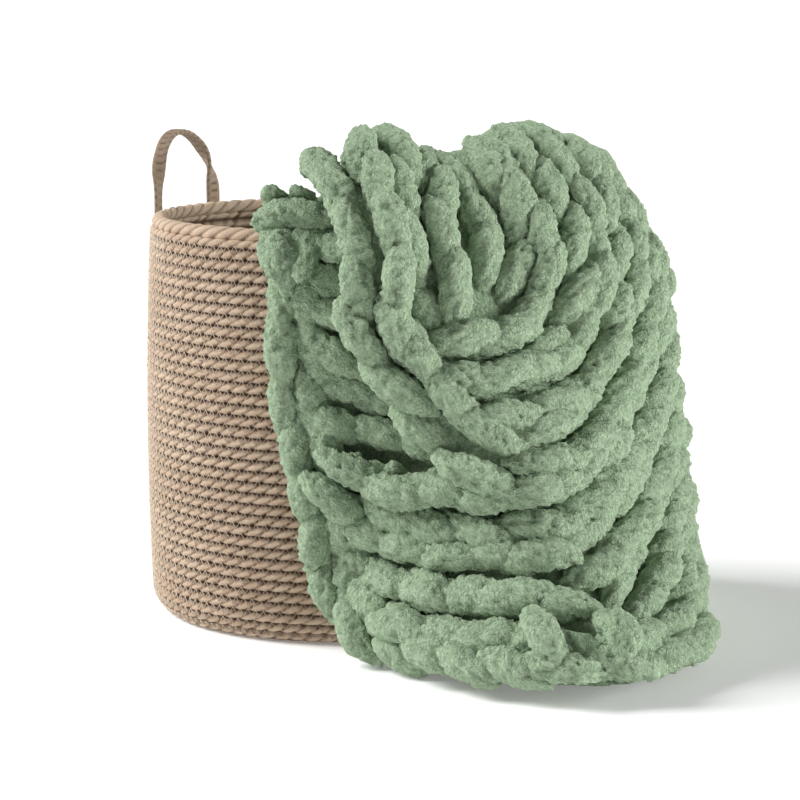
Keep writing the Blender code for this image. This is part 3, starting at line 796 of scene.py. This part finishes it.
def coiled(profile, rows, around, lay, sign, seed):
    """A wall of coiled rope raised on a profile: points, and how high each stands on its strand, which paints
    shade between strands and rows, times a random tone for each strand.
    """
    radius, height, out, run = profile
    pitch = run[-1] / rows
    turn = np.linspace(0, 2 * math.pi, around, endpoint=False)
    row = np.minimum((run / pitch + 1e-9).astype(int), rows - 1)
    part = run / pitch - row
    chance = np.random.RandomState(seed)
    start, lean = chance.rand(rows + 1), chance.uniform(0.85, 1.15, rows + 1)
    count = np.round(2 * math.pi * radius.mean() / lay * chance.uniform(0.93, 1.07, rows + 1))
    wander = smooth_noise(np.stack([np.cos(turn) * 6, np.sin(turn) * 6, turn * 0], -1)[None]
                          + row[:, None, None] * 1.7, 1.0, seed)
    phase = (turn[None] / (2 * math.pi) * count[row][:, None]
             - sign * (part * lean[row])[:, None] * STRAND_LEAN + start[row][:, None]
             + STRAND_WANDER * wander)
    strand = np.abs(np.sin(math.pi * phase)) ** 0.62
    round_row = np.sqrt(np.clip(1 - (2 * part - 1) ** 2, 0, 1))[:, None]
    loose = chance.normal(0, 0.00035, rows + 1)[row][:, None]
    raised = (ROW_BULGE * round_row + STRAND_BULGE * strand * round_row - ROW_SINK + loose
              + 0.0005 * wander)
    place_radius = radius[:, None] + raised * sign * out[:, :1]
    place_height = height[:, None] + raised * sign * out[:, 1:]
    points = np.stack([place_radius * np.cos(turn), place_radius * np.sin(turn),
                       np.maximum(place_height, 0.0004)], -1)
    which = np.stack([np.floor(phase), row[:, None] + 0 * phase, 0 * phase], -1).astype(np.int64)
    own = 0.82 + 0.18 * cell_chance(which, seed)[..., 0]
    return points, np.clip(round_row ** 0.8 * strand ** 1.2, 0, 1) * own


def coiled_disc(outer, level, rows, around, up):
    """A flat coil of rope: the basket's floor, seen from above or from below."""
    run = np.linspace(0.004, outer, rows * 4)
    part = run / outer * rows % 1
    turn = np.linspace(0, 2 * math.pi, around, endpoint=False)
    strand = np.abs(np.sin(math.pi * (turn[None] * run[:, None] / DISC_LAY + part[:, None]))) ** 0.6
    round_row = np.sqrt(np.clip(1 - (2 * part - 1) ** 2, 0, 1))[:, None] * np.ones((1, around))
    raised = up * (0.0026 * round_row + 0.0006 * strand * round_row - 0.0032)
    points = np.stack([run[:, None] * np.cos(turn), run[:, None] * np.sin(turn), level + raised], -1)
    points[..., 2] = np.maximum(points[..., 2], 0.0004)
    # The returned mask paints shade between the rope's rows and strands, through the dark gap colour.
    return points, 0.15 + 0.85 * round_row * (0.4 + 0.6 * strand)


def torus_rope(major, height, minor, strands, turns, around, sides):
    """A closed ring of rope with its strands twisted around it."""
    turn = np.linspace(0, 2 * math.pi, around, endpoint=False)[:, None]
    side = np.linspace(0, 2 * math.pi, sides, endpoint=False)[None]
    strand = np.abs(np.cos((strands * side - turns * turn) / 2)) ** 0.6
    size = minor * (0.66 + 0.34 * strand)
    radius = major + size * np.cos(side)
    rise = height + size * np.sin(side)
    return np.stack([radius * np.cos(turn), radius * np.sin(turn), rise], -1), strand


def ring_faces(around, sides):
    row, side = np.meshgrid(np.arange(around), np.arange(sides), indexing="ij")
    next_row, after = (row + 1) % around, (side + 1) % sides
    return np.stack([row * sides + side, next_row * sides + side, next_row * sides + after,
                     row * sides + after], -1).reshape(-1, 4)


class OBJECT_OT_rope_basket(Operator):
    """Makes the basket's coiled wall, lining, base and rim rope"""
    bl_idname = "object.rope_basket"
    bl_label = "Rope Basket"

    def execute(self, context):
        settings = context.scene.rope_basket
        finish = rope_finish("jute_rope", settings.straw, settings.brown, settings.gap, (1.0, 1.0, 5.0))
        around, steps = WALL_AROUND, settings.rows * WALL_STEPS + 1
        points, strand = coiled(wall_profile(0, steps), settings.rows, around, settings.lay, 1, 21)
        wall = add_piece("basket_wall", points.reshape(-1, 3), grid_faces(steps, around), finish,
                         "strand", strand.ravel())
        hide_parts("basket")
        around, steps = LINING_AROUND, settings.rows * LINING_STEPS + 1
        points, strand = coiled(wall_profile(BASKET_WALL, steps), settings.rows, around, settings.lay, -1, 22)
        add_piece("basket_lining", points.reshape(-1, 3), grid_faces(steps, around)[:, ::-1], finish,
                  "strand", strand.ravel())
        reach = float(wall_radius(BASKET_CORNER)) - BASKET_CORNER + 0.003
        for name, level, up in (("basket_floor", BASKET_WALL, 1), ("basket_underside", 0.0006, -1)):
            points, strand = coiled_disc(reach, level + 0.0032 * max(up, 0), DISC_ROWS, DISC_AROUND, up)
            faces = grid_faces(len(points), DISC_AROUND)
            centre = np.array([[0, 0, points[0, :, 2].mean()]])
            fan = [[len(points) * DISC_AROUND, side, (side + 1) % DISC_AROUND] for side in range(DISC_AROUND)]
            faces = [list(face) for face in faces] + fan
            if up < 0:
                faces = [face[::-1] for face in faces]
            add_piece(name, np.concatenate([points.reshape(-1, 3), centre]), faces, finish,
                      "strand", np.append(strand.ravel(), 0.5))
        rim_height = BASKET_HEIGHT - RIM_ROPE
        points, strand = torus_rope(BASKET_RIM - RIM_ROPE, rim_height, RIM_ROPE, RIM_STRANDS, RIM_TURNS,
                                    RIM_AROUND, RIM_SIDES)
        # The strand mask paints shade between the rim rope's strands, through the dark gap colour.
        add_piece("basket_rim", points.reshape(-1, 3), ring_faces(RIM_AROUND, RIM_SIDES), finish,
                  "strand", (0.10 + 0.62 * strand).ravel())
        return {"FINISHED"}


class OBJECT_OT_basket_thread(Operator):
    """Makes the zigzag thread that sews each row of rope to the next"""
    bl_idname = "object.basket_thread"
    bl_label = "Basket Thread"

    def execute(self, context):
        settings = context.scene.rope_basket
        finish = thread_finish(settings)
        radius, height, out, run = wall_profile(0, settings.rows * 40 + 1)
        pitch = run[-1] / settings.rows
        chance = np.random.RandomState(33)
        points, faces, start = [], [], 0
        for row in range(1, settings.rows):
            count = 2 * int(round(math.pi * BASKET_BASE / THREAD_STEP * chance.uniform(0.92, 1.08)))
            turn = np.linspace(0, 2 * math.pi, 2 * count, endpoint=False) + chance.rand()
            swing = np.where(np.arange(2 * count) % 2 == 0, 1, -1) * chance.uniform(0.75, 1.1, 2 * count)
            at = (row + THREAD_SWING * swing) * pitch
            reach = np.interp(at, run, radius) + np.interp(at, run, out[:, 0]) * THREAD_STAND
            rise = np.interp(at, run, height) + np.interp(at, run, out[:, 1]) * THREAD_STAND
            line = np.stack([reach * np.cos(turn), reach * np.sin(turn), rise], -1)
            outward = np.stack([np.cos(turn), np.sin(turn), turn * 0], -1)
            along = unit(np.roll(line, -1, 0) - np.roll(line, 1, 0))
            other = unit(np.cross(outward, along))
            ring = np.stack([line + THREAD_RADIUS * (math.cos(part) * outward + math.sin(part) * other)
                             for part in THREAD_CORNERS], 1)
            ring[..., 2] = np.maximum(ring[..., 2], 0.0004)
            points.append(ring.reshape(-1, 3))
            faces.append(ring_faces(2 * count, 3) + start)
            start += 6 * count
        add_piece("basket_thread", np.concatenate(points), np.concatenate(faces), finish)
        return {"FINISHED"}


# ---------------------------------------------------------------- the handles
def strap_route(half, lean, rise):
    """One row for each section: along the wall, out from it, height over the rim, twist."""
    sewn = [(STRAP_END_OUT, -STRAP_SEWN, 0), (STRAP_EDGE_OUT, -STRAP_EDGE_DEPTH, 0)]
    rows = [(-half, *row) for row in sewn]
    for turn in np.radians(np.linspace(170, 10, 11)):
        reach = math.sin(turn)
        rows.append((half * math.cos(turn), lean * reach, rise * reach ** 0.8,
                     STRAP_TURN * ease(*STRAP_TURN_SPAN, reach)))
    return np.array(rows + [(half, *row) for row in reversed(sewn)])


def strap_points(settings, angle, lean, rise, rings, sides):
    """A woven strap along its route, with its plait raised."""
    route = strap_route(settings.strap_spread / 2, lean, rise)
    place = through_rows(range(len(route)), route, np.linspace(0, len(route) - 1, rings))
    centre, twist = place[:, :3], np.radians(place[:, 3])
    along = unit(np.gradient(centre, axis=0))
    flat = np.where(np.abs(along[:, 1:2]) < 0.9, (0.0, 1.0, 0.0), (1.0, 0.0, 0.0))
    flat = unit(flat - along * (along * flat).sum(-1, keepdims=True))
    wide = np.cross(along, flat)
    cosine, sine = np.cos(twist)[:, None], np.sin(twist)[:, None]
    thin_axis, wide_axis = cosine * flat + sine * wide, -sine * flat + cosine * wide
    turn = np.linspace(0, 2 * math.pi, sides, endpoint=False)
    across = np.sign(np.cos(turn)) * np.abs(np.cos(turn)) ** 0.55 / 2
    over = np.sign(np.sin(turn)) * np.abs(np.sin(turn)) ** 0.7 / 2
    run = np.concatenate([[0], np.cumsum(np.linalg.norm(np.diff(centre, axis=0), axis=1))])
    lane = across[None] * 2
    wave = np.abs(np.sin(math.pi * (run[:, None] / STRAP_PLAIT + 0.55 * np.abs(lane * 1.5))))
    plait = wave ** 0.6 * (0.55 + 0.45 * np.abs(np.cos(math.pi * 1.5 * lane)))
    thick = over[None] * (settings.strap_thickness * (0.72 + 0.28 * plait))
    points = (centre[:, None] + (across[None] * settings.strap_width)[..., None] * wide_axis[:, None]
              + thick[..., None] * thin_axis[:, None])
    wall = BASKET_RIM + PIECE_GAP + settings.strap_thickness / 2 + STRAP_STAND_OFF
    bow = np.sqrt(np.maximum(wall ** 2 - points[..., 0] ** 2, 0))
    turn = math.radians(angle)
    out_axis = np.array((math.cos(turn), math.sin(turn), 0))
    side_axis = np.array((-math.sin(turn), math.cos(turn), 0))
    placed = (out_axis * (bow + points[..., 1])[..., None] + side_axis * points[..., :1]
              + np.array((0, 0, 1.0)) * (BASKET_HEIGHT + points[..., 2:]))
    return placed, plait


class OBJECT_OT_basket_straps(Operator):
    """Makes the two woven strap handles"""
    bl_idname = "object.basket_straps"
    bl_label = "Basket Straps"

    def execute(self, context):
        settings = context.scene.rope_basket
        finish = rope_finish("jute_strap", [0.52 * value for value in settings.straw],
                             [0.55 * value for value in settings.brown], settings.gap, (3.0, 3.0, 1.0))
        rings, sides = STRAP_RINGS, STRAP_SIDES
        for name, angle, lean, rise in STRAPS:
            points, plait = strap_points(settings, angle, lean, rise, rings, sides)
            ends = points[[0, -1]].mean(1)
            last = (rings - 1) * sides
            low = [[rings * sides, (side + 1) % sides, side] for side in range(sides)]
            high = [[rings * sides + 1, last + side, last + (side + 1) % sides] for side in range(sides)]
            faces = [list(face) for face in grid_faces(rings, sides)] + low + high
            # The plait mask paints shade between the plaits, through the dark gap colour.
            piece = add_piece(name, np.concatenate([points.reshape(-1, 3), ends]), faces, finish,
                              "strand", np.append((0.1 + 0.9 * plait).ravel(), (0.5, 0.5)))
            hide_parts(name.replace("strap", "handle"))
        return {"FINISHED"}


# ---------------------------------------------------------------- the studio
SKY_FADE = 0.6                # height, of 1 overhead, where the surround's light has faded
SUN_WIDTH = 34                # degrees across, for soft edges
KEY_PLACE = (38, -95)         # degrees above the floor, and around from the front, less than 0 at the left
CAMERA_PLACE = (0.057, -2.83, 0.667)
CAMERA_FALL = 9.1             # degrees below level
CAMERA_LENS = 123.75
FILL_PLACE = (10, 82)


def soft_sun(name, strength, rise, around):
    """A wide, even light from a height and a side."""
    light = bpy.data.lights.new(name, "SUN")
    light.energy, light.angle = strength, math.radians(SUN_WIDTH)
    lamp = bpy.data.objects.new(name, light)
    lamp.rotation_euler = (math.radians(90 - rise), 0, math.radians(around))
    bpy.context.scene.collection.objects.link(lamp)


class SCENE_OT_studio(Operator):
    """Makes the pale floor, the soft lights and the camera"""
    bl_idname = "scene.studio"
    bl_label = "Studio"

    def execute(self, context):
        scene, settings = context.scene, context.scene.studio
        block = bpy.data.meshes.new("floor")
        block.from_pydata([(-80, -80, 0), (80, -80, 0), (80, 80, 0), (-80, 80, 0)], [], [(0, 1, 2, 3)])
        floor = bpy.data.objects.new("floor", block)
        scene.collection.objects.link(floor)
        block.materials.append(Finish("pale_floor", {
            "Base Color": (0.95, 0.95, 0.95, 1), "Roughness": 0.9, "Specular IOR Level": 0.0,
            "Emission Color": (1, 1, 1, 1), "Emission Strength": settings.glow}).material)
        world = bpy.data.worlds.new("soft_surround")
        world.use_nodes = True
        nodes, links = world.node_tree.nodes, world.node_tree.links
        way, height, fade = (nodes.new(kind) for kind in (
            "ShaderNodeTexCoord", "ShaderNodeSeparateXYZ", "ShaderNodeMapRange"))
        for socket, value in (("From Min", 0.0), ("From Max", SKY_FADE), ("To Min", settings.horizon),
                              ("To Max", settings.overhead)):
            fade.inputs[socket].default_value = value
        links.new(way.outputs["Generated"], height.inputs["Vector"])
        links.new(height.outputs["Z"], fade.inputs["Value"])
        links.new(fade.outputs["Result"], nodes["Background"].inputs["Strength"])
        nodes["Background"].inputs["Color"].default_value = (1, 1, 1, 1)
        scene.world = world
        soft_sun("key", settings.key, *KEY_PLACE)
        soft_sun("fill", settings.fill, *FILL_PLACE)
        sight = bpy.data.cameras.new("camera")
        sight.sensor_width, sight.lens, sight.clip_end = 36.0, CAMERA_LENS, 300.0
        camera = bpy.data.objects.new("camera", sight)
        camera.location = CAMERA_PLACE
        camera.rotation_euler = (math.radians(90 - CAMERA_FALL), 0, 0)
        scene.collection.objects.link(camera)
        scene.camera = camera
        scene.view_settings.view_transform = "Standard"
        scene.view_settings.look = "None"
        return {"FINISHED"}


class VIEW3D_PT_knit_blanket(Panel):
    """Lists the steps that dress the blanket and its basket"""
    bl_label = "Knit Blanket"
    bl_idname = "VIEW3D_PT_knit_blanket"
    bl_space_type = "VIEW_3D"
    bl_region_type = "UI"
    bl_category = "Knit Blanket"

    def draw(self, context):
        groups = (
            (context.scene.knit_blanket, ("radius", "pile", "sides", "rings", "yarn", "painted_crease_shade", "sheen"),
             (OBJECT_OT_knit_stitches, OBJECT_OT_knit_back)),
            (context.scene.rope_basket, ("rows", "lay", "straw", "brown", "gap", "thread",
                                         "strap_width", "strap_thickness", "strap_spread"),
             (OBJECT_OT_rope_basket, OBJECT_OT_basket_thread, OBJECT_OT_basket_straps)),
            (context.scene.studio, ("horizon", "overhead", "key", "fill", "glow"), (SCENE_OT_studio,)),
        )
        for settings, names, steps in groups:
            box = self.layout.box()
            for name in names:
                box.prop(settings, name)
            for step in steps:
                box.operator(step.bl_idname)


CLASSES = (KnitBlanketSettings, RopeBasketSettings, StudioSettings, OBJECT_OT_knit_stitches,
           OBJECT_OT_knit_back, OBJECT_OT_rope_basket, OBJECT_OT_basket_thread,
           OBJECT_OT_basket_straps, SCENE_OT_studio, VIEW3D_PT_knit_blanket)


def register():
    for item in CLASSES:
        bpy.utils.register_class(item)
    bpy.types.Scene.knit_blanket = PointerProperty(type=KnitBlanketSettings)
    bpy.types.Scene.rope_basket = PointerProperty(type=RopeBasketSettings)
    bpy.types.Scene.studio = PointerProperty(type=StudioSettings)


def unregister():
    del bpy.types.Scene.studio
    del bpy.types.Scene.rope_basket
    del bpy.types.Scene.knit_blanket
    for item in reversed(CLASSES):
        bpy.utils.unregister_class(item)


def main():
    register()
    bpy.ops.object.rope_basket()
    bpy.ops.object.basket_thread()
    bpy.ops.object.basket_straps()
    bpy.ops.object.knit_stitches()
    bpy.ops.object.knit_back()
    bpy.ops.scene.studio()


if __name__ == "__main__":
    main()
